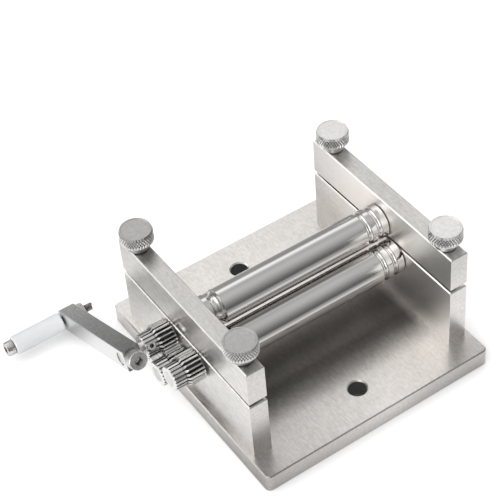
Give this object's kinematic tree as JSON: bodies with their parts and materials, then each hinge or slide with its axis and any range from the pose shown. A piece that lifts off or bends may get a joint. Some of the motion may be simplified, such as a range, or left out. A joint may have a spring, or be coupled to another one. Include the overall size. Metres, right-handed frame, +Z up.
{
  "type": "jewellers rolling mill",
  "caption": "Hand-cranked bench mill: a free top roller in spring-lifted caps, set by knurled screws, above a geared pair of lower rollers with wire grooves, on a flat base.",
  "frame": {"origin": "centre of the base plate's underside, on the bench", "axes": "+X along the rollers from the crank side to the plain side, +Y from the operator's side to the back, +Z up"},
  "size_m": [0.1365, 0.1094, 0.0559],
  "materials": {
    "frame_steel": "satin, fine straight grain",
    "roller_steel": "ground and polished",
    "gear_steel": "machined, bright",
    "crank_steel": "satin",
    "thumbscrew_steel": "turned faces, diamond knurled rim",
    "screw_steel": "plain stainless, slightly dull",
    "plated_nut": "bright zinc",
    "white_nylon": "smooth turned nylon",
    "spring_wire": "drawn wire"
  },
  "bodies": {
    "frame": {"base_plate": "frame_steel", "left_block": "frame_steel", "right_block": "frame_steel", "block_screws": "screw_steel", "lift_spring_left_front": "spring_wire", "lift_spring_left_back": "spring_wire", "lift_spring_right_front": "spring_wire", "lift_spring_right_back": "spring_wire"},
    "caps": {"left_cap": "frame_steel", "right_cap": "frame_steel"},
    "top_roller": {"top_roller": "roller_steel"},
    "drive": {"back_roller": "roller_steel", "drive_gear": "gear_steel", "drive_gear_screw": "screw_steel", "crank_arm": "crank_steel", "crank_clamp_screw": "screw_steel", "handle_screw": "screw_steel", "handle_nut": "plated_nut"},
    "idler": {"idler_gear": "gear_steel", "idler_gear_screw": "screw_steel", "idler_axle": "gear_steel"},
    "driven": {"front_roller": "roller_steel", "driven_gear": "gear_steel", "driven_gear_screw": "screw_steel"},
    "grip": {"handle_grip": "white_nylon"},
    "screw_left_front": {"thumbscrew_left_front": "thumbscrew_steel"},
    "screw_left_back": {"thumbscrew_left_back": "thumbscrew_steel"},
    "screw_right_front": {"thumbscrew_right_front": "thumbscrew_steel"},
    "screw_right_back": {"thumbscrew_right_back": "thumbscrew_steel"}
  },
  "joints": [
    {"name": "roller_lift", "type": "slide", "parent": "frame", "child": "caps", "axis": [0, 0, 1], "range_m": [-0.0012, 0.002], "deforming": ["lift_spring_left_front", "lift_spring_left_back", "lift_spring_right_front", "lift_spring_right_back"]},
    {"name": "left_front_screw_turn", "type": "hinge", "parent": "caps", "child": "screw_left_front", "pos_m": [-0.0415, -0.032, 0.0476], "axis": [0, 0, 1], "range_deg": [-618, 1030]},
    {"name": "left_back_screw_turn", "type": "hinge", "parent": "caps", "child": "screw_left_back", "pos_m": [-0.0415, 0.032, 0.0476], "axis": [0, 0, 1], "range_deg": [-618, 1030]},
    {"name": "right_front_screw_turn", "type": "hinge", "parent": "caps", "child": "screw_right_front", "pos_m": [0.0415, -0.032, 0.0476], "axis": [0, 0, 1], "range_deg": [-618, 1030]},
    {"name": "right_back_screw_turn", "type": "hinge", "parent": "caps", "child": "screw_right_back", "pos_m": [0.0415, 0.032, 0.0476], "axis": [0, 0, 1], "range_deg": [-618, 1030]},
    {"name": "top_roller_spin", "type": "hinge", "parent": "caps", "child": "top_roller", "pos_m": [0, 0, 0.03733], "axis": [1, 0, 0], "continuous": true},
    {"name": "crank_turn", "type": "hinge", "parent": "frame", "child": "drive", "pos_m": [0, 0.0088, 0.0267], "axis": [1, 0, 0], "continuous": true},
    {"name": "idler_spin", "type": "hinge", "parent": "frame", "child": "idler", "pos_m": [0, 0, 0.02097], "axis": [1, 0, 0], "continuous": true},
    {"name": "front_roller_spin", "type": "hinge", "parent": "frame", "child": "driven", "pos_m": [0, -0.0088, 0.0267], "axis": [1, 0, 0], "continuous": true},
    {"name": "grip_spin", "type": "hinge", "parent": "drive", "child": "grip", "pos_m": [-0.076, 0.05539, 0.00596], "axis": [1, 0, 0], "continuous": true}
  ],
  "couplings": [
    {"joint": "left_front_screw_turn", "follows": "roller_lift", "rad_per_m": 8976},
    {"joint": "left_back_screw_turn", "follows": "roller_lift", "rad_per_m": 8976},
    {"joint": "right_front_screw_turn", "follows": "roller_lift", "rad_per_m": 8976},
    {"joint": "right_back_screw_turn", "follows": "roller_lift", "rad_per_m": 8976},
    {"joint": "idler_spin", "follows": "crank_turn", "ratio": -1},
    {"joint": "front_roller_spin", "follows": "crank_turn", "ratio": 1}
  ]
}
